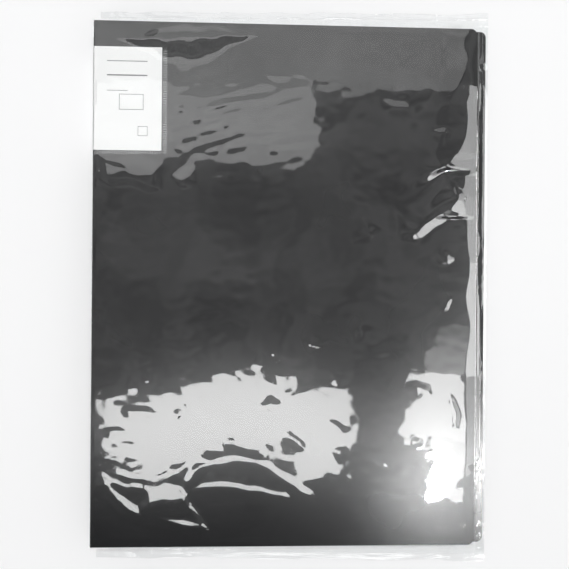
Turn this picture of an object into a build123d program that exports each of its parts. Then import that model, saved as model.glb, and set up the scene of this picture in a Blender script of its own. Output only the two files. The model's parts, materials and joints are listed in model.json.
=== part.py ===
"""A clear pocket display book for large sheets, closed and lying on its back cover in its clear wrapper.

The origin is on the table plane, under the middle of the back cover. X runs from the spine to the
fore edge, Y from the foot to the head and Z up. Sizes are in millimetres and angles in degrees.
"""

import os
from math import asin, atan2, cos, degrees, radians, sin

from build123d import *

# The paper that the book is made for
paper_width = 297.0
paper_height = 420.0

# Pockets: two film walls, welded at the spine and the foot, folded at the fore edge, open at the head
pocket_count = 40
side_slack = 4.4  # how much wider a pocket is than the paper
head_slack = 5.0  # how far a pocket stands above the paper
pocket_film = 0.05
pocket_slit = 0.02  # room between the two walls of an empty pocket
spine_weld = 4.0
foot_weld = 3.0
fore_fold = 0.6
leaf_pitch = 0.18  # how far apart the pockets lie at the fore edge
leaf_base = 0.15  # room under the lowest pocket at the fore edge
leaf_room = 0.35  # room over the highest pocket at the fore edge

# Cover: one creased sheet, cut here into two panels and a spine at its two creases
end_margin = 3.5  # past the pockets at the head and at the foot
fore_margin = 14.0  # panel past a pocket's length
sheet = 0.8
spine_width = 25.0  # crease to crease
spine_lean = 20.5  # the closed spine leans away from the book
corner_radius = 5.0  # fore-edge corners
crease_clear = 0.1  # between the folded panel and the spine's inner face

# Binding strip: the ridged strip on the inside of the spine that carries the pockets
strip_inset = 1.4  # from a crease to the strip's edge
strip_edge = 0.5  # thickness at its two edges
strip_rise = 2.9  # how much thicker it is along its middle
root_inset = 1.8  # from a crease to the nearest pocket
root_clear = 0.1  # between a pocket's edge and the strip

# Title card, and the clear label pocket that holds it, folded over the front crease
card_width = 56.0  # on the front cover
card_height = 85.5
card_drop = 21.5  # from the head of the cover to the card
card = 0.2
label_film = 0.12
label_side_seam = 5.0
label_foot_seam = 3.5

# Clear wrapper
wrapper_film = 0.05
wrapper_clear = 0.05  # between the label pocket and the wrapper
wrapper_overhang = 2.0  # past the edges of the covers
wall_gap = 0.05  # between the film's panel and the walls that hang from it
wall_lift = 0.4  # from the film under the book to the foot of a wall
head_tail = 9.0  # from the head of the cover to the seal
foot_tail = 10.0
seal_width = 6.0
seal = 0.1

# Places worked out from these sizes
pocket_length = spine_weld + paper_width + side_slack + fore_fold
pocket_height = foot_weld + paper_height + head_slack
panel_width = pocket_length + fore_margin  # crease to fore edge
panel_height = pocket_height + 2 * end_margin  # foot to head
half_sheet = sheet / 2
half_height = panel_height / 2
leaf = 2 * pocket_film + pocket_slit
lean = radians(spine_lean)
stack = leaf_base + pocket_count * leaf_pitch + leaf_room
cover_tilt = asin((spine_width * cos(lean) - half_sheet - stack) / pocket_length)

up_spine = Vector(-sin(lean), 0, cos(lean))
inward = Vector(cos(lean), 0, sin(lean))
back_crease = Vector(-panel_width / 2, 0, wrapper_film + sheet)  # on the panel's inner face
front_crease = back_crease + up_spine * spine_width

fold_angle = radians(90) - lean - cover_tilt  # inside angle at the front crease
panel_start = (half_sheet * (1 + cos(fold_angle)) + crease_clear) / sin(fold_angle)
label_top = half_height - card_drop
label_height = card_height + label_foot_seam
wrapper_lift = half_sheet + card + label_film + wrapper_clear


def face_plane(point, angle):
    """A plane with X along a panel that rises by the angle, Y to the head and Z out of the panel."""
    return Plane(point, x_dir=(cos(angle), 0, sin(angle)), z_dir=(-sin(angle), 0, cos(angle)))


back_plane = face_plane(back_crease, 0).offset(-half_sheet)
front_plane = face_plane(front_crease, -cover_tilt)
spine_plane = Plane(back_crease, x_dir=up_spine, z_dir=-inward)
spine_section = Plane(back_crease, x_dir=up_spine, z_dir=(0, 1, 0))

os.makedirs("parts", exist_ok=True)


def write(piece, name):
    """Label a finished piece and write it as its own file."""
    piece.part.label = name
    export_step(piece.part, f"parts/{name}.step")


def slab(plane, left, right, foot, head, thickness):
    """A flat rectangular plate on a plane, given by its four edges."""
    with BuildPart() as plate:
        with BuildSketch(plane):
            with Locations(((left + right) / 2, (foot + head) / 2)):
                Rectangle(right - left, head - foot)
        extrude(amount=thickness)
    return plate


def cover_panel(plane):
    """A cover panel with rounded fore-edge corners, its middle layer on the plane."""
    with BuildPart() as panel:
        with BuildSketch(plane.offset(-half_sheet)):
            with Locations(((panel_start + panel_width) / 2, 0)):
                Rectangle(panel_width - panel_start, panel_height)
            fillet(vertices().group_by(Axis.X)[-1], corner_radius)
        extrude(amount=sheet)
    return panel


# Cover panels
back_cover = cover_panel(back_plane)
write(back_cover, "back_cover")
front_cover = cover_panel(front_plane)
write(front_cover, "front_cover")

# Spine, with a round edge on each crease
with BuildPart() as spine_panel:
    with BuildSketch(spine_section):
        with Locations((spine_width / 2, 0)):
            SlotCenterToCenter(spine_width, sheet)
    extrude(amount=half_height, both=True)
write(spine_panel, "spine_panel")

# Binding strip, seated on the inside of the spine
strip_ridge = half_sheet + strip_edge + strip_rise
with BuildPart() as binding_strip:
    with BuildSketch(spine_section):
        with BuildLine():
            Polyline(
                (strip_inset, half_sheet),
                (spine_width - strip_inset, half_sheet),
                (spine_width - strip_inset, half_sheet + strip_edge),
                (spine_width / 2, strip_ridge),
                (strip_inset, half_sheet + strip_edge),
                close=True,
            )
        make_face()
    extrude(amount=pocket_height / 2, both=True)
write(binding_strip, "binding_strip")

# Pockets, counted from the front cover to the back cover
root_pitch = (spine_width - 2 * root_inset) / (pocket_count - 1)
strip_slope = strip_rise / (spine_width / 2 - strip_inset)
stack_floor = back_crease.Z + leaf_base
for number in range(1, pocket_count + 1):
    along = spine_width - root_inset - (number - 1) * root_pitch
    out = strip_ridge - strip_slope * abs(along - spine_width / 2) + root_clear + leaf / 2
    root = back_crease + up_spine * along + inward * out
    fore_height = stack_floor + (pocket_count - number + 0.5) * leaf_pitch
    leaf_plane = face_plane(root, -asin((root.Z - fore_height) / pocket_length))
    with BuildPart() as pocket:
        with BuildSketch(Plane(root, x_dir=leaf_plane.x_dir, z_dir=(0, -1, 0))):
            Circle(leaf / 2)  # round weld bead on the line where the pocket turns
            with Locations((pocket_length / 2, 0)):
                Rectangle(pocket_length, leaf)
        extrude(amount=pocket_height / 2, both=True)
        with BuildSketch(leaf_plane.offset(-pocket_slit / 2)):
            with Locations(((spine_weld + pocket_length - fore_fold) / 2, foot_weld)):
                Rectangle(pocket_length - fore_fold - spine_weld, pocket_height)
        extrude(amount=pocket_slit, mode=Mode.SUBTRACT)
    write(pocket, f"pocket_{number:02d}")

# Title card, on the front cover and on the spine
card_foot = label_top - card_height
spine_card_start = panel_start + label_side_seam
title_card_front = slab(front_plane.offset(half_sheet), panel_start, card_width, card_foot, label_top, card)
write(title_card_front, "title_card_front")
title_card_spine = slab(
    spine_plane.offset(half_sheet), spine_card_start, spine_width - panel_start, card_foot, label_top, card
)
write(title_card_spine, "title_card_spine")


def label_pocket(plane, left, right, card_left, card_right):
    """Clear film over the card, welded down along its foot and along the side where the card stops short."""
    foot = label_top - label_height
    with BuildPart() as film:
        with BuildSketch(plane.offset(card)):
            with Locations(((left + right) / 2, (foot + label_top) / 2)):
                Rectangle(right - left, label_height)
        extrude(amount=label_film)
        with BuildSketch(plane):
            with Locations(((left + right) / 2, (foot + card_foot) / 2)):
                Rectangle(right - left, label_foot_seam)
            with Locations(((left + card_left) / 2, (foot + label_top) / 2)):
                if card_left > left:
                    Rectangle(card_left - left, label_height)
            with Locations(((card_right + right) / 2, (foot + label_top) / 2)):
                if right > card_right:
                    Rectangle(right - card_right, label_height)
        extrude(amount=card)
    return film


label_pocket_front = label_pocket(
    front_plane.offset(half_sheet), panel_start, card_width + label_side_seam, panel_start, card_width
)
write(label_pocket_front, "label_pocket_front")
label_pocket_spine = label_pocket(
    spine_plane.offset(half_sheet),
    panel_start,
    spine_width - panel_start,
    spine_card_start,
    spine_width - panel_start,
)
write(label_pocket_spine, "label_pocket_spine")

# Clear wrapper, slit along the seals and creases so that it opens with the covers: over the front cover it is a
# panel with a wall that hangs from each of its three free edges
film_edge = panel_width + wrapper_overhang
film_end = half_height + wrapper_overhang
panel_tip = front_plane.from_local_coords((film_edge, 0, wrapper_lift))
wall_top_left = front_plane.from_local_coords((panel_start, 0, wrapper_lift - wall_gap))
wall_top_right = front_plane.from_local_coords((film_edge, 0, wrapper_lift - wall_gap))
wall_foot_left = back_crease + up_spine * panel_start
wall_foot_right = Vector(back_crease.X + film_edge, 0, wrapper_film + wall_lift)
wall_fall = wall_foot_right - panel_tip
wall_plane = face_plane(panel_tip, atan2(wall_fall.Z, wall_fall.X))
with BuildPart() as wrapper_front_film:
    with BuildSketch(front_plane.offset(wrapper_lift)):
        with Locations(((panel_start + film_edge) / 2, 0)):
            Rectangle(film_edge - panel_start, 2 * film_end)
    extrude(amount=wrapper_film)
    with BuildSketch(wall_plane):
        with Locations(((wall_gap + wall_fall.length) / 2, 0)):
            Rectangle(wall_fall.length - wall_gap, 2 * film_end)
    extrude(amount=wrapper_film)
    with BuildSketch(Plane.XZ.offset(-film_end - wall_gap)):
        with BuildLine():
            Polyline(
                (wall_top_left.X, wall_top_left.Z),
                (wall_top_right.X, wall_top_right.Z),
                (wall_foot_right.X, wall_foot_right.Z),
                (wall_foot_left.X, wall_foot_left.Z),
                close=True,
            )
        make_face()
    head_wall = extrude(amount=-wrapper_film)
    mirror(head_wall, about=Plane.XZ)
write(wrapper_front_film, "wrapper_front_film")
wrapper_spine_film = slab(
    spine_plane.offset(wrapper_lift), panel_start, spine_width - panel_start, -film_end, film_end, wrapper_film
)
write(wrapper_spine_film, "wrapper_spine_film")

table_plane = Plane.XY.offset(0)
film_left = back_crease.X + panel_start
film_right = back_crease.X + film_edge
film_head = half_height + head_tail
film_foot = -half_height - foot_tail
wrapper_back_film = slab(table_plane, film_left, film_right, film_foot, film_head, wrapper_film)
write(wrapper_back_film, "wrapper_back_film")
seal_left = front_crease.X
wrapper_head_seal = slab(table_plane, seal_left, film_right, film_head, film_head + seal_width, seal)
write(wrapper_head_seal, "wrapper_head_seal")
wrapper_foot_seal = slab(table_plane, seal_left, film_right, film_foot - seal_width, film_foot, seal)
write(wrapper_foot_seal, "wrapper_foot_seal")

print(f"cover tilt {degrees(cover_tilt):.3f}, panel start {panel_start:.3f}, leaf {leaf:.3f}")
print(f"front crease {front_crease.X:.3f}, {front_crease.Z:.3f}")
print(f"strip slope {degrees(atan2(strip_rise, spine_width / 2 - strip_inset)):.2f}")
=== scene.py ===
import json
import math

import bpy
import numpy as np
from mathutils import Matrix, Vector


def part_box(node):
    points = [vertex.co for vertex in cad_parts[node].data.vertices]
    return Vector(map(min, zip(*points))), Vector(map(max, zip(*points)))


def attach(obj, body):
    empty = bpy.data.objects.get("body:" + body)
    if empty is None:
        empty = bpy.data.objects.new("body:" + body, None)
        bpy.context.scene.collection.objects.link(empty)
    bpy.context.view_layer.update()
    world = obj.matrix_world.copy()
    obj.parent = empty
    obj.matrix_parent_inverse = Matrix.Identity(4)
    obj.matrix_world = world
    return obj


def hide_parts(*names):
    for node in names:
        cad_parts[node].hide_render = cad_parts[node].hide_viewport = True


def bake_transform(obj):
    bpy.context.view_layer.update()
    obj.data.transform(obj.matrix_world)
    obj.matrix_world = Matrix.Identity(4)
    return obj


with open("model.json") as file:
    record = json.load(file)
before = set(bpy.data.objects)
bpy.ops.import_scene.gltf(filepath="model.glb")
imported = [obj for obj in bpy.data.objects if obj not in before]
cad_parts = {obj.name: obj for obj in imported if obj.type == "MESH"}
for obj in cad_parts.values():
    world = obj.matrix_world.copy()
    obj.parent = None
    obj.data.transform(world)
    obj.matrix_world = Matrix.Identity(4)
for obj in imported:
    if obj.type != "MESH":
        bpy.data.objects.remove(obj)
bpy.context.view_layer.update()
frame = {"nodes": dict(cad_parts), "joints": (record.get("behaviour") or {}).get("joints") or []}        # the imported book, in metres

mm = 0.001

# places that the frame gives
joints = {joint["name"]: joint for joint in frame["joints"]}
backCrease = Vector(joints["spine_fold"]["pos_m"])
frontCrease = Vector(joints["front_cover_fold"]["pos_m"])
spineWidth = (frontCrease - backCrease).length
upSpine = (frontCrease - backCrease).normalized()

cover = {
    "sheet": 0.8 * mm,
    "bend": 0.5 * mm,        # radius of a crease in the middle of the sheet
    "bendSteps": 7,
    "corner": 5 * mm,        # fore-edge corners
    "cornerSteps": 8,
    "edgeRound": 0.12 * mm,
    "sharp": math.radians(50),      # edges from here on are rounded
    "smooth": math.radians(30),     # faces up to here shade as one
    "join": 3.5 * mm,        # where the two halves of the cover meet, up the spine
    "hinge": 1.1 * mm,       # half the width of the strip that bends when the real book opens; its ends are worked out, but the sheet is not bent there
}
lowFront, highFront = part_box("front_cover")
lowBack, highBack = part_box("back_cover")
coverHalf = highFront.y
coverTilt = math.atan2(highFront.z - lowFront.z - cover["sheet"], highFront.x - lowFront.x)
frontWidth = (highFront.x - frontCrease.x - cover["sheet"] / 2 * math.sin(coverTilt)) / math.cos(coverTilt)
alongFront = Vector((math.cos(coverTilt), 0, -math.sin(coverTilt)))
headward = Vector((0, 1, 0))


def placeOf(origin, along, across):
    out = along.cross(across)
    place = Matrix((along, across, out)).transposed().to_4x4()
    place.translation = origin
    return place


frontPlace = placeOf(frontCrease, alongFront, headward)        # Z out of the front cover
spinePlace = placeOf(backCrease, upSpine, headward)            # Z out of the spine
backMiddle = (lowBack.z + highBack.z) / 2
creaseShift = (backMiddle - backCrease.z) / upSpine.z    # along the spine, down to the back cover's middle
backPlace = placeOf(backCrease + upSpine * creaseShift, Vector((1, 0, 0)), -headward)  # Z down
frontTurn = upSpine.angle(alongFront)
backTurn = upSpine.angle(Vector((-1, 0, 0)))
print("frame: tilt", round(math.degrees(coverTilt), 3), "front width", round(frontWidth / mm, 2))


# shader maths
class Wire:
    def __init__(self, tree, socket=None):
        self.tree = tree
        self.socket = socket

    def node(self, kind, settings=None, sockets=None, out=0):
        made = self.tree.nodes.new("ShaderNode" + kind)
        for key, value in (settings or {}).items():
            setattr(made, key, value)
        for key, value in (sockets or {}).items():
            if isinstance(value, Wire):
                self.tree.links.new(value.socket, made.inputs[key])
            else:
                made.inputs[key].default_value = value
        return Wire(self.tree, made.outputs[out])

    def sum(self, operation, first, second):
        return self.node("Math", {"operation": operation}, {0: first, 1: second})

    def __add__(self, other):
        return self.sum("ADD", self, other)

    def __radd__(self, other):
        return self.sum("ADD", other, self)

    def __sub__(self, other):
        return self.sum("SUBTRACT", self, other)

    def __rsub__(self, other):
        return self.sum("SUBTRACT", other, self)

    def __mul__(self, other):
        return self.sum("MULTIPLY", self, other)

    def __rmul__(self, other):
        return self.sum("MULTIPLY", other, self)

    def __lt__(self, other):
        return self.sum("LESS_THAN", self, other)

    def __abs__(self):
        return self.node("Math", {"operation": "ABSOLUTE"}, {0: self})

    def ranged(self, low, high, start=0, end=1, kind="SMOOTHSTEP"):
        return self.node("MapRange", {"interpolation_type": kind},
                         {"Value": self, "From Min": low, "From Max": high, "To Min": start, "To Max": end})

    def noise(self, place, scale, detail, distortion=0):
        return self.node("TexNoise", None, {"Vector": place, "Scale": scale, "Detail": detail,
                                            "Distortion": distortion})

    def mixed(self, share, first, second):
        return self.node("Mix", {"data_type": "RGBA"}, {0: share, 6: first, 7: second}, out=2)

    def bump(self, height, distance, strength=1):
        return self.node("Bump", None, {"Strength": strength, "Distance": distance, "Height": height})

    def surface(self, colour, rough, relief):
        return self.node("BsdfPrincipled", None, {"Base Color": colour, "Roughness": rough, "Normal": relief})


def newFinish(name):
    finish = bpy.data.materials.new(name)
    finish.use_nodes = True
    finish.node_tree.nodes.clear()
    return finish, Wire(finish.node_tree)


def giveFinish(wire, shader):
    output = wire.tree.nodes.new("ShaderNodeOutputMaterial")
    wire.tree.links.new(shader.socket, output.inputs["Surface"])


def dress(piece, finish):
    piece.data.materials.clear()
    piece.data.materials.append(finish)


# black cover plastic with a fine sand grain
def coverFinish():
    look = {"black": (0.011, 0.011, 0.012, 1), "grey": (0.015, 0.015, 0.016, 1), "clouds": 14,
            "grain": 0.8 * mm, "relief": 0.038 * mm, "rough": 0.13, "rougher": 0.06}
    finish, wire = newFinish("coverSheet")
    place = wire.node("TexCoord", out="Object")
    grain = wire.noise(place, 1 / look["grain"], 2)
    colour = wire.mixed(wire.noise(place, look["clouds"], 2), look["black"], look["grey"])
    relief = wire.bump(grain, look["relief"])
    giveFinish(wire, wire.surface(colour, look["rough"] + look["rougher"] * grain, relief))
    return finish


# black plastic of the binding strip, faintly mottled
def stripFinish():
    look = {"black": (0.03, 0.03, 0.032, 1), "grey": (0.05, 0.05, 0.052, 1), "clouds": 260,
            "relief": 0.05 * mm, "strength": 0.4, "rough": 0.3, "rougher": 0.15}
    finish, wire = newFinish("bindingStrip")
    cloud = wire.noise(wire.node("TexCoord", out="Object"), look["clouds"], 3)
    colour = wire.mixed(cloud, look["black"], look["grey"])
    relief = wire.bump(cloud, look["relief"], look["strength"])
    giveFinish(wire, wire.surface(colour, look["rough"] + look["rougher"] * cloud, relief))
    return finish


# clear film: see-through, with a mirror on it that grows towards a slant; some films are milky too
filmHaze = {"white": (0.9, 0.91, 0.92, 1), "rough": 0.5, "clouds": 60, "least": 0.6, "more": 0.8}


def filmFinish(name, look):
    finish, wire = newFinish(name)
    place = wire.node("TexCoord", out="Object")
    relief = wire.bump(wire.noise(place, 1 / look["crinkle"], 2), look["relief"])
    fromLamp = wire.node("LightPath", out="Is Shadow Ray")
    fromDull = wire.node("LightPath", out="Is Diffuse Ray")
    slant = wire.node("LayerWeight", None, {"Blend": 0.5}, out="Facing")
    least = ((look["mirror"] - 1) / (look["mirror"] + 1)) ** 2
    mirrored = least + (1 - least) * wire.sum("POWER", slant, 5)
    gloss = mirrored * (1 - fromLamp) * (1 - fromDull)          # light goes through
    shine = wire.node("BsdfPrincipled", None, {"Base Color": (1, 1, 1, 1), "Metallic": 1,
                                               "Roughness": look["rough"], "Normal": relief})
    clear = wire.node("BsdfTransparent", None, {"Color": look["tint"]})
    shader = wire.node("MixShader", None, {0: gloss, 1: clear, 2: shine})
    if look["milk"]:
        haze = wire.node("BsdfPrincipled", None, {"Base Color": filmHaze["white"],
                                                  "Roughness": filmHaze["rough"]})
        cloud = filmHaze["least"] + filmHaze["more"] * wire.noise(place, filmHaze["clouds"], 3)
        shader = wire.node("MixShader", None, {0: look["milk"] * cloud, 1: shader, 2: haze})
    giveFinish(wire, shader)
    return finish


# white title card with plain printed rules and frames, laid out on the card's own flat coordinates
cardPrint = {
    "white": (0.93, 0.93, 0.925, 1), "ink": (0.12, 0.12, 0.125, 1),
    "rules": [                  # left, right, height and width in mm
        (11, 44, 184.2, 0.7),
        (11, 44, 172.5, 1.1),
        (11, 28, 159.8, 0.5),
    ],
    "frames": [                 # left, right, foot, head and line in mm
        (21, 41, 144, 157, 0.45),
        (36.5, 44.5, 122.5, 130.5, 0.4),
    ],
    "fibres": 900, "fibre": (0.8, 0.8, 0.79, 1), "fibreShare": 0.12,
    "relief": 0.02 * mm, "strength": 0.3, "rough": 0.55, "rougher": 0.1,
}


def cardFinish():
    finish, wire = newFinish("titleCard")
    flat = wire.node("UVMap", {"uv_map": "flat"})
    across = wire.node("SeparateXYZ", None, {0: flat}, out=0)
    up = wire.node("SeparateXYZ", None, {0: flat}, out=1)

    def within(left, right, foot, head):
        side = (abs(across - (left + right) / 2 * mm) < (right - left) / 2 * mm)
        return side * (abs(up - (foot + head) / 2 * mm) < (head - foot) / 2 * mm)

    ink = 0
    for left, right, height, line in cardPrint["rules"]:
        ink = within(left, right, height - line / 2, height + line / 2) + ink
    for left, right, foot, head, line in cardPrint["frames"]:
        inside = within(left + line, right - line, foot + line, head - line)
        ink = within(left, right, foot, head) * (1 - inside) + ink
    place = wire.node("TexCoord", out="Object")
    fibre = wire.noise(place, cardPrint["fibres"], 4)
    paper = wire.mixed(fibre * cardPrint["fibreShare"], cardPrint["white"], cardPrint["fibre"])
    colour = wire.mixed(ink, paper, cardPrint["ink"])
    relief = wire.bump(fibre, cardPrint["relief"], cardPrint["strength"])
    giveFinish(wire, wire.surface(colour, cardPrint["rough"] + cardPrint["rougher"] * fibre, relief))
    return finish


coverSheet = coverFinish()
bindingPlastic = stripFinish()
titleCard = cardFinish()
wrapperFilm = filmFinish("wrapperFilm", {"tint": (0.975, 0.98, 0.98, 1), "mirror": 1.8, "rough": 0.03,
                                         "crinkle": 3 * mm, "relief": 0.0013 * mm, "milk": 0})
sealFilm = filmFinish("sealFilm", {"tint": (0.96, 0.965, 0.965, 1), "mirror": 1.9, "rough": 0.06,
                                   "crinkle": 2 * mm, "relief": 0.03 * mm, "milk": 0.04})
labelFilm = filmFinish("labelFilm", {"tint": (0.985, 0.985, 0.985, 1), "mirror": 1.15, "rough": 0.1,
                                     "crinkle": 4 * mm, "relief": 0.004 * mm, "milk": 0})
weldFilm = filmFinish("weldFilm", {"tint": (0.95, 0.95, 0.95, 1), "mirror": 1.5, "rough": 0.2,
                                   "crinkle": 1 * mm, "relief": 0.02 * mm, "milk": 0.25})
pocketFilm = filmFinish("pocketFilm", {"tint": (0.97, 0.975, 0.98, 1), "mirror": 1.6, "rough": 0.12,
                                       "crinkle": 6 * mm, "relief": 0.01 * mm, "milk": 0.02})
pocketSeam = filmFinish("pocketSeam", {"tint": (0.94, 0.945, 0.95, 1), "mirror": 1.6, "rough": 0.15,
                                       "crinkle": 2 * mm, "relief": 0.02 * mm, "milk": 0.4})
print("finishes made")


# modelling helpers
def pick(piece, test):
    bpy.ops.object.mode_set(mode="OBJECT")
    for part in (piece.data.polygons, piece.data.edges, piece.data.vertices):
        part.foreach_set("select", [False] * len(part))
    for vertex in piece.data.vertices:
        vertex.select = test(vertex.co)
    bpy.ops.object.mode_set(mode="EDIT")
    bpy.ops.mesh.select_mode(type="VERT")


def addPlane(name, left, right, foot, head, height):
    bpy.ops.object.select_all(action="DESELECT")
    bpy.ops.mesh.primitive_plane_add(size=1)
    plane = bpy.context.object
    plane.name = plane.data.name = name
    middle = Matrix.Translation(((left + right) / 2, (foot + head) / 2, height))
    plane.data.transform(middle @ Matrix.Diagonal((right - left, head - foot, 1, 1)))
    return plane


def applyModifier(piece, kind, **settings):
    bpy.ops.object.mode_set(mode="OBJECT")
    bpy.ops.object.select_all(action="DESELECT")
    piece.select_set(True)
    bpy.context.view_layer.objects.active = piece
    modifier = piece.modifiers.new(kind, kind)
    for key, value in settings.items():
        setattr(modifier, key, value)
    bpy.ops.object.modifier_apply(modifier=modifier.name)


def layFlat(piece):
    layers = piece.data.uv_layers
    flat = layers.get("flat") or layers.new(name="flat")        # as it was cut, in metres
    for loop in piece.data.loops:
        point = piece.data.vertices[loop.vertex_index].co
        across = point.x if point.z > -0.01 * mm else -math.hypot(point.x, point.z)
        flat.data[loop.index].uv = across, point.y


# a sheet on a panel that bends over its crease and runs on along the spine, made on the panel's own axes
def creasedSheet(name, turn, width, foot, head, rise, tail, corner=0):
    reach = cover["bend"] * math.tan(turn / 2)
    piece = addPlane(name, reach, width, foot, head, rise)
    if corner:
        pick(piece, lambda point: point.x > width - mm)
        bpy.ops.mesh.bevel(offset=corner, segments=cover["cornerSteps"], affect="VERTICES")
    pick(piece, lambda point: point.x < reach + 0.1 * mm)
    bpy.ops.mesh.spin(steps=cover["bendSteps"], angle=turn, center=(reach, 0, -cover["bend"]), axis=(0, 1, 0))
    bpy.ops.mesh.extrude_edges_move(TRANSFORM_OT_translate={"value": alongTail(turn) * (tail - reach)})
    bpy.ops.object.mode_set(mode="OBJECT")
    return piece


def alongTail(turn):
    return Vector((-math.cos(turn), 0, -math.sin(turn)))


def finishSheet(piece, place, thickness, rounded=0):
    layFlat(piece)
    piece.data.transform(place)
    applyModifier(piece, "SOLIDIFY", thickness=thickness, offset=0)
    if rounded:
        applyModifier(piece, "BEVEL", width=rounded, segments=2, limit_method="ANGLE",
                      angle_limit=cover["sharp"])
    bpy.ops.object.mode_set(mode="EDIT")
    bpy.ops.mesh.select_all(action="SELECT")
    bpy.ops.mesh.normals_make_consistent(inside=False)
    bpy.ops.object.mode_set(mode="OBJECT")
    bpy.ops.object.shade_smooth_by_angle(angle=cover["smooth"])
    applyModifier(piece, "WEIGHTED_NORMAL", keep_sharp=True, weight=100)        # large faces stay flat


def bendAtFront(piece):
    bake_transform(piece)


def bendAtBack(piece):
    way = (upSpine - Vector((1, 0, 0))).normalized() * cover["hinge"]
    middle = backPlace.translation
    tuple(middle - way)
    tuple(middle + way)
    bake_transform(piece)


# cover: one creased sheet, in two halves that meet on the spine
halfSheet = cover["sheet"] / 2
frontHalf = creasedSheet("cover_front_half", frontTurn, frontWidth, -coverHalf, coverHalf, 0,
                         spineWidth - cover["join"], cover["corner"])
finishSheet(frontHalf, frontPlace, cover["sheet"], cover["edgeRound"])
bendAtFront(frontHalf)
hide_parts("front_cover", "spine_panel")
backWidth = highBack.x - backPlace.translation.x
backHalf = creasedSheet("cover_back_half", backTurn, backWidth, -coverHalf, coverHalf, 0,
                        cover["join"] - creaseShift, cover["corner"])
finishSheet(backHalf, backPlace, cover["sheet"], cover["edgeRound"])
bendAtBack(backHalf)
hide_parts("back_cover")
for coverPiece in (frontHalf, backHalf):
    dress(coverPiece, coverSheet)
dress(frame["nodes"]["binding_strip"], bindingPlastic)
print("cover made:", len(frontHalf.data.polygons) + len(backHalf.data.polygons), "faces")

# title card, and the clear label pocket that is welded down round it
label = {
    "card": 0.2 * mm, "film": 0.12 * mm,
    "sideSeam": 5 * mm,
    "step": 0.6 * mm,                       # how far the film takes to come down beside the card
    "bar": (3.4 * mm, 0.75 * mm, 0.18 * mm), "barTop": 0.72, "pitch": 1.95 * mm,
    "sideBars": 2.6 * mm, "footBars": 1.8 * mm,    # from the card's edge to the middle of the weld
    "footBar": 0.62,                        # length of a bar along the foot, to one along the side
}
lowCard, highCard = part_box("title_card_front")
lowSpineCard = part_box("title_card_spine")[0]
lowLabel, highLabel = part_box("label_pocket_front")
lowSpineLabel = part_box("label_pocket_spine")[0]
cardWidth = (highCard.x - frontCrease.x) / math.cos(coverTilt)


def tailTo(low):
    return spineWidth - (low.z - backCrease.z + halfSheet * abs(upSpine.x)) / upSpine.z


def makeCard():
    piece = creasedSheet("title_card", frontTurn, cardWidth, lowCard.y, highCard.y,
                         halfSheet + label["card"] / 2, tailTo(lowSpineCard))
    finishSheet(piece, frontPlace, label["card"])
    bendAtFront(piece)
    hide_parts("title_card_front", "title_card_spine")
    dress(piece, titleCard)


def lowerPast(piece, point, way, drop):
    def onPanel(place):
        return abs((place - point).dot(drop)) < label["card"]

    for ahead in (0, label["step"]):
        pick(piece, onPanel)
        bpy.ops.mesh.bisect(plane_co=point + way * ahead, plane_no=way)
    pick(piece, lambda place: onPanel(place) and (place - point).dot(way) > label["step"] / 2)
    bpy.ops.transform.translate(value=drop * -label["card"])
    bpy.ops.object.mode_set(mode="OBJECT")


def weldBars(name, start, step, count, length):
    bpy.ops.object.select_all(action="DESELECT")
    bpy.ops.mesh.primitive_cube_add(size=1)
    bar = bpy.context.object
    bar.name = name
    wide, high, rise = label["bar"]
    if step.x:
        wide, high = high, wide * length
    bar.data.transform(Matrix.Translation(start) @ Matrix.Diagonal((wide, high, rise, 1)))
    pick(bar, lambda point: point.z > start.z)
    bpy.ops.transform.resize(value=(label["barTop"], label["barTop"], 1))
    applyModifier(bar, "ARRAY", count=count, use_relative_offset=False, use_constant_offset=True,
                  constant_offset_displace=step)
    dress(bar, weldFilm)
    return bar


def makeLabelPocket():
    rise = halfSheet + label["card"] + label["film"] / 2
    width = cardWidth + label["sideSeam"]
    piece = creasedSheet("label_pocket", frontTurn, width, lowLabel.y, highLabel.y, rise,
                         tailTo(lowSpineLabel))
    out = Vector((0, 0, 1))
    lowerPast(piece, Vector((cardWidth, 0, rise)), Vector((1, 0, 0)), out)
    spineOut = Vector((-math.sin(frontTurn), 0, math.cos(frontTurn)))
    spineEnd = alongTail(frontTurn) * tailTo(lowSpineCard) + spineOut * rise
    lowerPast(piece, spineEnd, alongTail(frontTurn), spineOut)
    bpy.ops.object.mode_set(mode="EDIT")
    bpy.ops.mesh.select_all(action="SELECT")
    bpy.ops.mesh.bisect(plane_co=(0, lowCard.y, 0), plane_no=(0, -1, 0))
    bpy.ops.object.mode_set(mode="OBJECT")
    finishSheet(piece, Matrix(), label["film"])
    seamTop = halfSheet + label["film"] + label["bar"][2] / 4
    pitch = label["pitch"]
    tall = highLabel.y - lowLabel.y
    sideStart = Vector((cardWidth + label["sideBars"], lowLabel.y + pitch, seamTop))
    sideCount, footCount = int(tall / pitch) - 1, int(cardWidth / pitch) - 1
    side = weldBars("side_weld", sideStart, Vector((0, pitch, 0)), sideCount, 1)
    footStart = Vector((2 * pitch, lowCard.y - label["footBars"], seamTop))
    foot = weldBars("foot_weld", footStart, Vector((pitch, 0, 0)), footCount, label["footBar"])
    dress(piece, labelFilm)
    bpy.ops.object.select_all(action="DESELECT")
    for part in (side, foot, piece):
        part.select_set(True)
    bpy.context.view_layer.objects.active = piece
    bpy.ops.object.join()
    piece.data.transform(frontPlace)
    bendAtFront(piece)
    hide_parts("label_pocket_front", "label_pocket_spine")
    print("label made:", len(piece.data.polygons), "faces")


makeCard()
makeLabelPocket()


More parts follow.
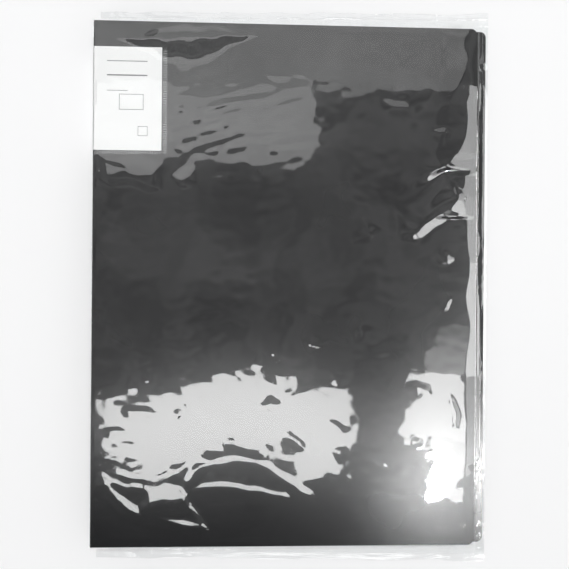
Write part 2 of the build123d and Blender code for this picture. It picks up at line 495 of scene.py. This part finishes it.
# sheets made point by point, with a map of the flat sheet
def gridSheet(name, points, flat):
    rows, columns = points.shape[:2]
    mesh = bpy.data.meshes.new(name)
    index = np.arange(rows * columns).reshape(rows, columns)
    corners = np.stack([index[:-1, :-1], index[:-1, 1:], index[1:, 1:], index[1:, :-1]], axis=-1)
    corners = corners.reshape(-1, 4)
    mesh.from_pydata(points.reshape(-1, 3).tolist(), [], corners.tolist())
    layer = mesh.uv_layers.new(name="flat")
    layer.data.foreach_set("uv", flat.reshape(-1, 2)[corners.ravel()].astype(np.float32).ravel())
    mesh.polygons.foreach_set("use_smooth", np.ones(len(mesh.polygons), bool))
    piece = bpy.data.objects.new(name, mesh)
    bpy.context.scene.collection.objects.link(piece)
    return piece


def ripples(x, y, wave, stretch, seed, count=20):
    dice = np.random.default_rng(seed)
    total = np.zeros(np.broadcast(x, y).shape)
    for _ in range(count):
        turn, phase = dice.uniform(0, 2 * np.pi, 2)
        pace = 2 * np.pi * dice.uniform(0.7, 1.4) / wave
        total += np.cos(pace * (x * np.cos(turn) / stretch + y * np.sin(turn)) + phase)
    return total * np.sqrt(2 / count)


def ease(value, low, high):
    t = np.clip((value - low) / (high - low), 0, 1)
    return t * t * (3 - 2 * t)


def spaced(start, end, step):
    return np.linspace(start, end, int(round((end - start) / step)) + 1)


def onPlace(place, x, y, z):
    matrix = np.array(place)
    local = np.stack(np.broadcast_arrays(x, y, z), axis=-1) * mm
    return local @ matrix[:3, :3].T + matrix[:3, 3]


# pockets: each a film folded at the fore edge, seen as its two walls, all with the same slight waves, in mm
pocketLook = {
    "film": 0.05, "gap": 0.02, "length": 306.0,
    "weld": 4.0, "footWeld": 3.0,
    "step": 17.0, "foldSteps": 4,
    "wave": 0.1, "wavesAcross": 92.0, "wavesUp": 138.0, "waveStart": 25.0,
}


def makePockets():
    look = pocketLook
    apart = (look["film"] + look["gap"]) / 2
    welded = look["film"] / 2
    walls = np.concatenate([[0, look["weld"], look["weld"] + 1], spaced(look["weld"] + look["step"],
                            look["length"] - 1, look["step"])])
    bend = np.linspace(np.pi / 2, -np.pi / 2, look["foldSteps"] + 2)
    across = np.concatenate([walls, look["length"] - apart + apart * np.cos(bend), walls[::-1]])
    wall = np.where(walls <= look["weld"], welded, apart)
    height = np.concatenate([wall, apart * np.sin(bend), -wall[::-1]])
    low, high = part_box("pocket_01")
    foot, head = low.y / mm, high.y / mm
    up = np.concatenate([[foot, foot + look["footWeld"], foot + look["footWeld"] + 1],
                         spaced(foot + look["step"], head, look["step"])])
    x, y = np.meshgrid(across, up)
    z = np.where(y <= foot + look["footWeld"], np.sign(height) * np.minimum(np.abs(height), welded), height)
    phase = 2 * np.pi * y / look["wavesUp"] + x / look["wavesAcross"]
    wave = np.sin(2 * np.pi * x / look["wavesAcross"]) * np.sin(phase)
    z = z + look["wave"] * wave * ease(x, 0, look["waveStart"])
    run = np.concatenate([[0], np.cumsum(np.hypot(np.diff(across), np.diff(height)))])
    flat = np.stack([np.broadcast_to(run, x.shape) * mm, y * mm], axis=-1)
    middleX, middleY = (x[:-1, :-1] + x[1:, 1:]) / 2, (y[:-1, :-1] + y[1:, 1:]) / 2
    seam = (middleX < look["weld"]) | (middleX > look["length"] - 1) | (middleY < foot + look["footWeld"])
    names = sorted(name for name in frame["nodes"] if name.startswith("pocket_"))
    for name in names:
        low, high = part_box(name)
        root = Vector(joints[name + "_turn"]["pos_m"])
        fore = Vector((high.x, 0, low.z + (look["film"] + look["gap"] / 2) * mm))
        place = placeOf(root, (fore - root).normalized(), headward)
        piece = gridSheet("clear_" + name, onPlace(place, x, y, z), flat)
        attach(piece, name)
        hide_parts(name)
        dress(piece, pocketFilm)
        piece.data.materials.append(pocketSeam)
        piece.data.polygons.foreach_set("material_index", seam.ravel().astype(np.int32))
    print("pockets made:", len(names), "of", len(x) * len(x[0]), "points")


makePockets()


def roundedPath(points):
    path = np.array(points, float)
    for _ in range(2):
        first, second = path[:-1], path[1:]
        cut = np.stack([first * 0.75 + second * 0.25, first * 0.25 + second * 0.75], axis=1).reshape(-1, 2)
        path = np.vstack([path[:1], cut, path[-1:]])
    return path


# how far each point lies to the left of a crease, how far along it, and the crease's length
def besideCrease(x, y, points):
    path = roundedPath(points)
    steps = np.hypot(*np.diff(path, axis=0).T)
    far = np.full(x.shape, 1e9)
    side, along = np.zeros(x.shape), np.zeros(x.shape)
    done = 0.0
    for start, end, step in zip(path[:-1], path[1:], steps):
        way = (end - start) / step
        ahead = np.clip((x - start[0]) * way[0] + (y - start[1]) * way[1], 0, step)
        gapX, gapY = x - start[0] - way[0] * ahead, y - start[1] - way[1] * ahead
        gap = np.hypot(gapX, gapY)
        nearer = gap < far
        far = np.where(nearer, gap, far)
        side = np.where(nearer, np.sign(way[0] * gapY - way[1] * gapX), side)
        along = np.where(nearer, done + ahead, along)
        done += step
    return far * side, along, done


# the clear film over the front cover, creased as it is on the book, in millimetres on the cover's own axes
film = {
    "step": 1.3,
    "start": 3.0,               # from the front crease
    "past": 1.0,                # past the cover's other three edges, before it falls
    "lift": 0.85, "touch": 0.46, "touchSoft": 0.05,
    "edgeLift": 0.5, "edgeFall": 8.0, "edgeUneven": 2.0, "edgeWaves": (40, 1, 27, 9),
    "sags": [                   # start, end, cut, slower, narrow, wide, power, slope, opening, swell, fade
        (217, 156, 25, 0, 0, 24, 1.6, 0.03, 1, 60, 28),
        (168, 100, 3, 0.9, 7.5, 31, 4.5, 0.05, 12, 49, 28),
        (97, 59, 2, 0, 10, 15, 5, 0.055, 4, 12, 15),
    ],
    "sagSettle": 6, "sagCut": 0.9,
    "bubbles": [(272, -131, 5.2, 0.12), (150, -56, 3.0, 0.06)],         # middle, radius, slope
    "labelLift": 0.8, "labelEase": 9.0,
    "waves": [(0.05, 58, 1.5, 3), (0.01, 17, 2.0, 5), (0.006, 9, 1.6, 8)],     # height, length, stretch, seed
    "flow": (0.035, 9, 6, 12, 15),      # height, length, stretch, turn, seed
    "flowPlace": (118, 132, 52, 34),    # middle and reaches
    "wobble": 0.5, "wobbleWave": 20,    # how far a crease strays from its line
    "fall": [                   # the fore edge: share of the way out, share of the height
        (0, 1), (0.05, 0.96), (0.09, 0.88), (0.115, 0.75), (0.13, 0.5), (0.15, 0.22), (0.19, 0.085),
        (0.3, 0.06), (0.55, 0.05), (0.8, 0.04), (1, 0),
    ],
    "restEnds": 0.15 * mm, "restFore": 0.45 * mm,       # above the floor
    "streaks": 0.03, "streakWaves": (4, 5, 33),
    "pleats": 0.3, "pleatWaves": (7, 1.4, 34),
    "fallWide": 9,              # what falls counts as this wide in those waves
    "ridge": (0.45, 0.5, 0.12, 160, 35), "ridgeEnd": 20,        # height, place, half width, from, to
    "crumpled": [(191, 6), (8, 21), (-163, 18), (-210, 8)],     # middle and reach, up the fore edge
    "crumpling": 0.3,
    "taper": 12.0,
    "creases": [                # points, steepest slope, half width to its left and to its right
        ([(5, -156), (15, -172), (30, -185), (41, -192), (57, -194), (75, -200), (96, -203)],
         0.093, 3.0, 4.0),
        ([(5, -156), (19, -164), (32, -170), (50, -169)], 0.06, 2.4, 4.0),
        ([(38, -187), (50, -185), (66, -183), (82, -190)], 0.15, 12.0, 3.8),
        ([(12, -154), (30, -160), (48, -162), (64, -156), (76, -148)], 0.06, 1.8, 5.5),
        ([(60, -163), (70, -156), (79, -147), (84, -140)], 0.07, 2.0, 6.5),
        ([(68, -166), (80, -184), (90, -198), (102, -212)], 0.09, 2.1, 6.0),
        ([(77, -172), (88, -152), (102, -149)], 0.08, 3.0, 3.0),
        ([(94, -151), (113, -146), (128, -147), (145, -151), (163, -164), (190, -182)], 0.05, 2.1, 5.0),
        ([(76, -174), (97, -166), (129, -170), (170, -179)], 0.055, 1.9, 5.0),
        ([(87, -132), (112, -142)], 0.05, 1.6, 4.0),
        ([(107, -129), (127, -134), (148, -141)], 0.06, 3.0, 6.0),
        ([(155, -121), (166, -127), (181, -140)], 0.06, 3.0, 4.0),
        ([(138, -101), (158, -98)], 0.055, 3.0, 4.0),
        ([(22, -105), (58, -106)], 0.055, 2.2, 4.0),
        ([(28, -111), (48, -112)], 0.05, 1.7, 3.0),
        ([(7, -122), (32, -121)], 0.05, 1.6, 3.0),
        ([(17, -132), (44, -133)], 0.05, 1.4, 3.0),
        ([(65, -107), (77, -108)], 0.05, 1.5, 3.0),
        ([(194, -112), (214, -121)], 0.06, 2.0, 3.5),
        ([(200, -137), (214, -143)], 0.06, 3.0, 3.5),
        ([(42, -81), (50, -76)], 0.04, 4.0, 1.8),
        ([(29, -87), (40, -84)], 0.04, 4.0, 1.8),
        ([(98, -74), (120, -77)], 0.04, 4.0, 1.5),
        ([(144, -84), (154, -81)], 0.04, 4.0, 1.6),
        ([(133, -66), (141, -66)], 0.06, 4.0, 1.6),
        ([(172, -44), (184, -50), (198, -51)], 0.06, 4.0, 1.7),
        ([(198, -81), (205, -78)], 0.04, 4.0, 1.6),
        ([(216, -40), (226, -43)], 0.06, 4.0, 1.6),
        ([(214, 36), (226, 40), (241, 47)], 0.12, 6.0, 1.8),
        ([(258, 37.5), (265, 43.5), (275, 51.6), (291, 65), (303, 73), (315, 80)], 0.13, 9.0, 4.8),
        ([(282, 21), (304, 23)], 0.1, 5.0, 1.7),
        ([(292, -14), (298, -18)], 0.09, 4.0, 2.0),
        ([(280, 131), (300, 127)], 0.06, 2.6, 5.5),
        ([(238, 156), (249, 151), (268, 148)], 0.06, 1.9, 6.0),
        ([(233, -144), (242, -152), (256, -157)], 0.05, 1.7, 5.0),
        ([(10, 202), (32, 204), (59, 203.5), (89, 206), (112, 208.3), (126, 208.3), (144, 207.5)],
         0.255, 6.0, 9.0),
        ([(298, -88), (303, -102), (306, -124)], 0.06, 1.6, 2.4),
        ([(261, -84), (276, -87), (288, -93)], 0.05, 3.0, 5.0),
        ([(94, 148), (106, 149), (118, 152)], 0.045, 3.0, 1.5),
        ([(76, 135), (95, 141)], 0.05, 4.0, 2.2),
        ([(102, 134), (116, 133)], 0.05, 3.0, 1.6),
        ([(67, 143), (76, 146)], 0.045, 3.0, 1.3),
        ([(64, 115), (76, 111)], 0.045, 3.0, 1.4),
        ([(86, 110), (100, 111), (110, 114)], 0.045, 3.0, 1.4),
        ([(67, 122), (93, 119), (116, 122)], 0.022, 3.0, 1.2),
        ([(138, 118), (146, 117)], 0.04, 3.0, 1.2),
        ([(144, 112), (153, 113)], 0.045, 3.0, 1.5),
        ([(2, 86), (20, 89), (36, 86), (58, 79)], 0.12, 11.0, 3.0),
        ([(4, 106), (22, 100), (30, 95)], 0.06, 3.0, 1.5),
        ([(64, 90), (74, 85), (84, 80)], 0.1, 8.0, 2.5),
    ],
    "crumples": [(40, -165, 60, 0.03), (300, 60, 60, 0.02)],    # middle, reach, height
    "crumpleWaves": (24, 2.4, 11), "crumpleLine": 0.22,
}


# by the fore edge the film slackens towards each short crease, and starts again past it
def sagHeight(inward, y):
    height = np.zeros(y.shape)
    for start, end, cut, slower, narrow, wide, power, slope, opening, swell, fade in film["sags"]:
        t = np.clip((y - start) / (end - start), 0, 1)
        width = (narrow + (wide - narrow) * t ** power) * ease(start - y, 0, opening)
        level = wide * ease(start - y, -swell, film["sagSettle"]) - np.clip(width - inward, 0, None)
        past = np.maximum(inward - wide, 0) / fade
        run = cut + slower * np.maximum(inward - film["sagCut"] * wide, 0)      # its crease runs out inwards
        height += slope * np.clip(level, 0, None) * np.exp(-past ** 2) * ease(y, end - run, end)
    return height


def filmHeight(x, y):
    wide, tall = frontWidth / mm, coverHalf / mm
    inward = wide - x
    uneven = film["edgeUneven"] * ripples(y, 0 * y, *film["edgeWaves"])
    fore = np.clip(inward / (film["edgeFall"] + uneven), 0, 1)
    ends = np.clip((tall - np.abs(y)) / film["edgeFall"], 0, 1)
    height = film["edgeLift"] + (film["lift"] - film["edgeLift"]) * (1 - np.maximum(1 - fore, 1 - ends) ** 2)
    height = height + sagHeight(inward, y)
    for middleX, middleY, radius, slope in film["bubbles"]:
        off = ((x - middleX) ** 2 + (y - middleY) ** 2) / radius ** 2
        height = height + slope * radius / 1.54 * np.clip(1 - off, 0, 1) ** 2       # a dome's steepest slope
    for rise, wave, stretch, seed in film["waves"]:
        height = height + rise * ripples(x, y, wave, stretch, seed)
    rise, wave, stretch, turn, seed = film["flow"]
    middleX, middleY, reachX, reachY = film["flowPlace"]
    c, s = math.cos(math.radians(turn)), math.sin(math.radians(turn))
    near = np.exp(-((x - middleX) / reachX) ** 4 - ((y - middleY) / reachY) ** 4)
    height = height + rise * near * ripples(x * c + y * s, y * c - x * s, wave, stretch, seed)
    for middleX, middleY, reach, rise in film["crumples"]:
        near = np.exp(-((x - middleX) ** 2 + (y - middleY) ** 2) / reach ** 2)
        lines = ripples(x, y, *film["crumpleWaves"]) / film["crumpleLine"]
        height = height + rise * near * np.exp(-lines ** 2)
    strayX = x + film["wobble"] * ripples(x, y, film["wobbleWave"], 1, 21)
    strayY = y + film["wobble"] * ripples(x, y, film["wobbleWave"], 1, 22)
    for points, slope, left, right in film["creases"]:
        rise = slope * min(left, right) / 0.607         # a bell curve's steepest slope
        reach = 3 * (left + right)
        low, high = np.min(points, axis=0) - reach, np.max(points, axis=0) + reach
        near = (strayX > low[0]) & (strayX < high[0]) & (strayY > low[1]) & (strayY < high[1])
        beside, along, long = besideCrease(strayX[near], strayY[near], points)
        taper = min(film["taper"] * max(1, 4 * rise - 3), long / 2)    # a high crease runs out more slowly
        fade = ease(along, 0, taper) * ease(long - along, 0, taper)
        half = np.where(beside > 0, left, right) * (1 - (1 - fade) * (1 - 0.5 / (1 + rise ** 2)))
        height[near] += rise * fade * np.exp(-0.5 * (beside / half) ** 2)
    labelLeft, labelFoot, labelHead = (cardWidth + label["sideSeam"]) / mm, lowLabel.y / mm, highLabel.y / mm
    off = np.maximum(np.maximum(x - labelLeft, labelFoot - y), y - labelHead)
    least = film["touch"] + (film["labelLift"] - film["touch"]) * ease(-off, -film["labelEase"], 0)
    soft = film["touchSoft"]
    return least + soft * np.logaddexp(0, (height - least) / soft)


def makeFrontFilm():
    wide, tall = frontWidth / mm, coverHalf / mm
    edge, end = wide + film["past"], tall + film["past"]
    steps = len(film["fall"]) - 1
    fall = np.arange(1, steps + 1) / steps
    columns = np.concatenate([spaced(film["start"], edge, film["step"]), edge + fall])
    rows = np.concatenate([-end - fall[::-1], spaced(-end, end, film["step"]), end + fall])
    x, y = np.meshgrid(columns, rows)
    sideways = np.clip(x - edge, 0, 1)
    endways = np.clip(np.abs(y) - end, 0, 1)
    x, y = np.minimum(x, edge), np.clip(y, -end, end)
    points = onPlace(frontPlace, x, y, filmHeight(x, y))
    out, down = np.array(film["fall"]).T
    stages = np.linspace(0, 1, steps + 1)
    outward = np.interp(sideways, stages, out)
    drop = np.maximum(1 - np.interp(sideways, stages, down), endways)
    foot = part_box("wrapper_foot_seal")[1].y
    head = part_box("wrapper_head_seal")[0].y
    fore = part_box("wrapper_back_film")[1].x
    rest = np.where(endways >= sideways, film["restEnds"], film["restFore"])
    points[..., 0] += outward * (fore - points[..., 0])
    points[..., 1] += endways * (np.where(y > 0, head, foot) - points[..., 1])
    points[..., 2] += drop * (rest - points[..., 2])
    rise, middle, half, start, stop = film["ridge"]
    fold = ease(-y, -start, film["ridgeEnd"] - start) * ease(y, stop, stop + film["ridgeEnd"])
    fold = fold * np.exp(-((outward - middle) / half) ** 2)
    crumpling = film["streaks"] + film["crumpling"] * sum(np.exp(-((y - place) / reach) ** 4)
                                                         for place, reach in film["crumpled"])
    streaks = np.abs(ripples(y, outward * film["fallWide"], *film["streakWaves"]))
    streaks = crumpling * streaks * ease(outward, 0.2, 0.4)
    streaks = (streaks + rise * fold) * ease(1 - outward, 0, 0.2) * (1 - endways)
    pleats = np.abs(ripples(x, endways * film["fallWide"], *film["pleatWaves"]))
    pleats = film["pleats"] * pleats * 4 * endways * (1 - endways)      # none at either end of the fall
    points[..., 2] += (streaks + pleats) * mm
    flat = np.stack([(x + 14 * sideways) * mm, (y + 17 * endways * np.sign(y)) * mm], axis=-1)
    piece = gridSheet("wrapper_front", points, flat)
    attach(piece, "front_cover")
    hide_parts("wrapper_front_film")
    (edge + 14 - film["start"]) * mm
    2 * (end + 17) * mm
    dress(piece, wrapperFilm)
    print("front film made:", len(piece.data.polygons), "faces")


# the film round the spine, up to the front film and shaped round the front crease
spineFilm = {"join": 3.5, "frontSteps": 4, "bendSteps": 10, "step": 1.6, "rowStep": 2.6, "clear": 0.8,
             "crinkle": 0.12, "crinkleWaves": (22, 0.6, 31), "crinkleFrom": 1.5, "crinkleTo": 6}


def makeSpineFilm():
    look = spineFilm
    end = coverHalf / mm + film["past"]
    rows = spaced(-end, end, look["rowStep"])
    reach = cover["bend"] / mm * math.tan(frontTurn / 2)
    bend, turn = cover["bend"] / mm, frontTurn
    front = np.linspace(film["start"], reach, look["frontSteps"])[:-1]
    arc = np.linspace(0, turn, look["bendSteps"])
    tail = spaced(reach, spineWidth / mm - look["join"], look["step"])[1:]
    lift = np.array([filmHeight(np.array([film["start"]]), np.array([row]))[0] for row in rows])[:, None]
    y = rows[:, None]
    level = look["clear"] + (lift - look["clear"]) * np.linspace(1, 0, len(front) + 1)[:-1]
    onFront = [np.broadcast_to(front, level.shape), level]
    radius = bend + look["clear"]
    onArc = [np.broadcast_to(reach - radius * np.sin(arc), (len(rows), len(arc))),
             np.broadcast_to(radius * np.cos(arc) - bend, (len(rows), len(arc)))]
    crinkle = look["crinkle"] * (1 + ripples(tail, y, *look["crinkleWaves"]))
    crinkle = look["clear"] + crinkle * ease(tail, look["crinkleFrom"], look["crinkleTo"])
    onTail = [-math.cos(turn) * tail - math.sin(turn) * crinkle,
              -math.sin(turn) * tail + math.cos(turn) * crinkle]
    x = np.concatenate([onFront[0], onArc[0], onTail[0]], axis=1)
    z = np.concatenate([onFront[1], onArc[1], onTail[1]], axis=1)
    points = onPlace(frontPlace, x, np.broadcast_to(y, x.shape), z)
    run = np.concatenate([front, reach - radius * arc, reach - radius * turn - (tail - reach)])
    flat = np.stack(np.broadcast_arrays(run * mm, y * mm), axis=-1)
    piece = gridSheet("wrapper_spine", points, flat)
    bendAtFront(piece)
    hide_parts("wrapper_spine_film")
    2 * end * mm
    dress(piece, wrapperFilm)


# the film under the book, bent up round the back crease to meet the film on the spine
backFilm = {"level": 0.025, "step": 4.0, "inset": 0.5, "bendSteps": 8, "edge": 0.3, "edgeWaves": (30, 1, 41)}


def makeBackFilm(seals):
    low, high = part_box("wrapper_back_film")
    rows = spaced(low.y / mm, high.y / mm, backFilm["step"])
    columns = spaced(low.x / mm + backFilm["inset"], high.x / mm, backFilm["step"])
    join = backCrease + upSpine * spineFilm["join"] * mm
    out = spinePlace.to_3x3() @ Vector((0, 0, spineFilm["clear"] * mm))
    meet = (join + out) / mm
    turn = (backCrease + out) / mm
    start = Vector((columns[0], 0, backFilm["level"]))
    shares = np.linspace(1, 0, backFilm["bendSteps"])[:-1]
    bend = [start.lerp(turn, t).lerp(turn.lerp(meet, t), t) for t in shares]
    x = np.concatenate([[point.x for point in bend], columns])
    z = np.concatenate([[point.z for point in bend], np.full(len(columns), backFilm["level"])])
    end = coverHalf / mm + film["past"]
    y = np.broadcast_to(rows[:, None], (len(rows), len(x))).copy()
    z = np.broadcast_to(z, y.shape).copy()
    x = np.broadcast_to(x, y.shape).copy()
    strip = len(bend)
    y[:, :strip] = np.clip(y[:, :strip], -end, end)     # what is turned up stops where the spine's film does
    outside = np.maximum(ease(np.abs(y), end - 1, end + 6), ease(x, highBack.x / mm, high.x / mm))
    uneven = 0.5 + 0.5 * np.abs(ripples(x, y, *backFilm["edgeWaves"]))
    z = z + backFilm["edge"] * outside * uneven * (x > columns[0])
    run = np.concatenate([[0], np.cumsum(np.hypot(np.diff(x[0]), np.diff(z[0])))])
    flat = np.stack(np.broadcast_arrays(run * mm, rows[:, None] * mm), axis=-1)
    piece = gridSheet("wrapper_back", np.stack([x, y, z], axis=-1) * mm, flat)
    bendAtBack(piece)
    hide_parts("wrapper_back_film")
    dress(piece, wrapperFilm)


# crimped seals at the head and at the foot
sealLook = {"across": 1.4, "along": 0.5, "level": 0.08, "crimp": 0.16, "crimps": 1.5, "crimpWaves": (12, 1),
            "lie": 0.5, "lieWaves": (34, 2.5), "lieFrom": 3, "ragged": 0.5, "raggedWaves": (40, 1)}


def makeSeal(name, node, seed):
    low, high = (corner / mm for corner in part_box(node))
    inner, outer = (low.y, high.y) if high.y > 0 else (high.y, low.y)
    columns = spaced(low.x, high.x, sealLook["across"])
    t = spaced(0, abs(outer - inner), sealLook["along"])[:, None]
    x = np.broadcast_to(columns, (len(t), len(columns)))
    ragged = sealLook["ragged"] * ripples(columns, 0 * columns, *sealLook["raggedWaves"], seed)
    y = inner + math.copysign(1, outer - inner) * t * (1 + ragged / abs(outer - inner))
    crimp = sealLook["crimp"] * (1 + np.cos(2 * np.pi * t / sealLook["crimps"])) / 2
    lie = np.abs(ripples(x, y, *sealLook["lieWaves"], seed + 1))
    lie = sealLook["lie"] * lie * ease(t, 0, sealLook["lieFrom"])
    uneven = 0.6 + 0.4 * ripples(x, y, *sealLook["crimpWaves"], seed + 2) ** 2
    z = sealLook["level"] + crimp * uneven + lie
    flat = np.stack(np.broadcast_arrays(x * mm, t * mm), axis=-1)
    piece = gridSheet(name, np.stack([x, y, z], axis=-1) * mm, flat)
    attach(piece, "back_cover")
    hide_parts(node)
    dress(piece, sealFilm)
    return piece


makeFrontFilm()
makeSpineFilm()
makeBackFilm([makeSeal("wrapper_seal_head", "wrapper_head_seal", 51),
              makeSeal("wrapper_seal_foot", "wrapper_foot_seal", 61)])
print("wrapper made")

# floor, lamps, sky and camera
stage = {
    "floor": 30.0, "floorWhite": (0.96, 0.96, 0.965, 1), "floorGrey": (0.94, 0.94, 0.945, 1),
    "floorClouds": 3, "floorRough": 0.8, "floorShine": 0.2,
    "floorFrom": 0.8, "floorTo": 2.2,   # away from the book the floor shows as bright as the sky
    "panelHeight": 2.0,
    "panels": [                 # windows and walls, seen only in what shines: left, right, near, far, level
        ("windowFoot", -0.388, -0.132, -0.582, -0.385, 6.4),
        ("windowMiddle", -0.132, 0.216, -0.549, -0.309, 6.4),
        ("windowSide", 0.216, 0.411, -0.635, -0.359, 6.4),
        ("windowFore", 0.605, 0.81, -0.52, -0.285, 6.8),
        ("windowLow", 0.674, 0.81, -0.735, -0.52, 5.5),
        ("sunlit", 0.671, 0.733, -0.735, -0.56, 335.0),
        ("haze1", 0.72, 0.84, -0.186, -0.166, 0.6),
        ("haze2", 0.705, 0.84, -0.206, -0.186, 0.95),
        ("haze3", 0.69, 0.84, -0.229, -0.206, 1.3),
        ("haze4", 0.672, 0.84, -0.256, -0.229, 1.6),
        ("haze5", 0.65, 0.84, -0.285, -0.256, 1.9),
        ("blind1", -0.6, 0.285, 0.407, 0.47, 1.45),
        ("blind2", -0.6, 0.285, 0.47, 0.52, 1.7),
        ("blind3", -0.6, 0.285, 0.52, 0.65, 1.52),
        ("wall", -0.60, 0.84, 0.65, 3.0, 0.88),
        ("foreHead", 0.95, 1.7, 0.30, 0.70, 3.2),
        ("foreMiddle", 0.87, 1.7, 0.06, 0.30, 3.8),
        ("foreFoot", 0.87, 1.7, -0.31, 0.06, 6.0),
        ("foreLow", 0.87, 1.7, -0.64, -0.31, 2.2),
        ("foreGlare", 1.75, 2.4, -0.8, 0.6, 11.0),
    ],
    "fill": (0.0, 0.3, 2.4, 1.2, 1.6, 7.0),     # lamp that doesn't show in what shines: place, size, level
    "sky": 0.5, "shown": 0.95, "ceiling": 0.28, "ceilingFoot": 0.04,
    "skyFrom": 0.64, "skyTo": 0.8,      # how high the sky fades out, as the sine of its height
    "footFrom": -0.27, "footTo": -0.17,
    "smears": (11, 3, 0.8), "smearFrom": 0.3, "smearTo": 0.7, "smearLeast": 0.3, "smearMost": 1.7,
}


def seenBy(wire):
    return wire.node("LightPath", out="Is Camera Ray") + wire.node("LightPath", out="Is Glossy Ray")


def makeFloor():
    bpy.ops.object.select_all(action="DESELECT")
    bpy.ops.mesh.primitive_plane_add(size=stage["floor"], location=(0, 0, -0.02 * mm))
    floor = bpy.context.object
    floor.name = "floor"
    finish, wire = newFinish("floorWhite")
    place = wire.node("TexCoord", out="Object")
    cloud = wire.noise(place, stage["floorClouds"], 2)
    colour = wire.mixed(cloud, stage["floorWhite"], stage["floorGrey"])
    shader = wire.node("BsdfPrincipled", None, {"Base Color": colour, "Roughness": stage["floorRough"],
                                                "Specular IOR Level": stage["floorShine"]})
    away = wire.node("VectorMath", {"operation": "LENGTH"}, {0: place}, out="Value")
    far = away.ranged(stage["floorFrom"], stage["floorTo"])
    pale = wire.node("Emission", None, {"Strength": stage["shown"]})
    shader = wire.node("MixShader", None, {0: far * seenBy(wire), 1: shader, 2: pale})
    giveFinish(wire, shader)
    dress(floor, finish)


def makeLamp(name, place, turn, size, level):
    data = bpy.data.lights.new(name, "AREA")
    data.shape = "RECTANGLE"
    data.size, data.size_y = size
    data.energy = level * math.pi * data.size * data.size_y
    lamp = bpy.data.objects.new(name, data)
    lamp.location = place
    lamp.rotation_euler = turn
    bpy.context.scene.collection.objects.link(lamp)
    return lamp


def makeLamps():
    for name, left, right, near, far, level in stage["panels"]:
        place = (left + right) / 2, (near + far) / 2, stage["panelHeight"]
        makeLamp(name, place, (0, 0, 0), (right - left, far - near), level).visible_diffuse = False
    fill = stage["fill"]
    makeLamp("fill", fill[:3], (0, 0, 0), fill[3:5], fill[5]).visible_glossy = False


def makeSky():
    world = bpy.data.worlds.new("studio")
    bpy.context.scene.world = world
    world.use_nodes = True
    world.node_tree.nodes.clear()
    wire = Wire(world.node_tree)
    way = wire.node("TexCoord", out="Generated")
    north = wire.node("SeparateXYZ", None, {0: way}, out=1)
    height = wire.node("SeparateXYZ", None, {0: way}, out=2)
    ceiling = north.ranged(stage["footFrom"], stage["footTo"], stage["ceilingFoot"], stage["ceiling"])
    smear = wire.noise(way, *stage["smears"])
    smear = smear.ranged(stage["smearFrom"], stage["smearTo"], stage["smearLeast"], stage["smearMost"],
                         kind="LINEAR")
    above = height.ranged(stage["skyFrom"], stage["skyTo"])
    shown = stage["sky"] + (stage["shown"] - stage["sky"]) * seenBy(wire)
    level = shown * (1 - above) + ceiling * smear * above
    sky = wire.node("Background", None, {"Color": (1, 1, 1, 1), "Strength": level})
    output = world.node_tree.nodes.new("ShaderNodeOutputWorld")
    world.node_tree.links.new(sky.socket, output.inputs["Surface"])


def makeCamera():
    shot = {"place": (-10.0 * mm, 0.7 * mm, 700 * mm), "roll": 0.46, "lens": 51.85, "sensor": 36,
            "near": 0.01, "far": 50}
    data = bpy.data.cameras.new("camera")
    data.lens, data.sensor_width = shot["lens"], shot["sensor"]
    data.clip_start, data.clip_end = shot["near"], shot["far"]
    camera = bpy.data.objects.new("camera", data)
    camera.location = shot["place"]
    camera.rotation_euler = (0, 0, math.radians(shot["roll"]))
    bpy.context.scene.collection.objects.link(camera)
    bpy.context.scene.camera = camera


makeFloor()
makeLamps()
makeSky()
makeCamera()
bpy.context.scene.view_settings.view_transform = "Standard"
bpy.context.scene.cycles.transparent_max_bounces = 96
print("stage set")
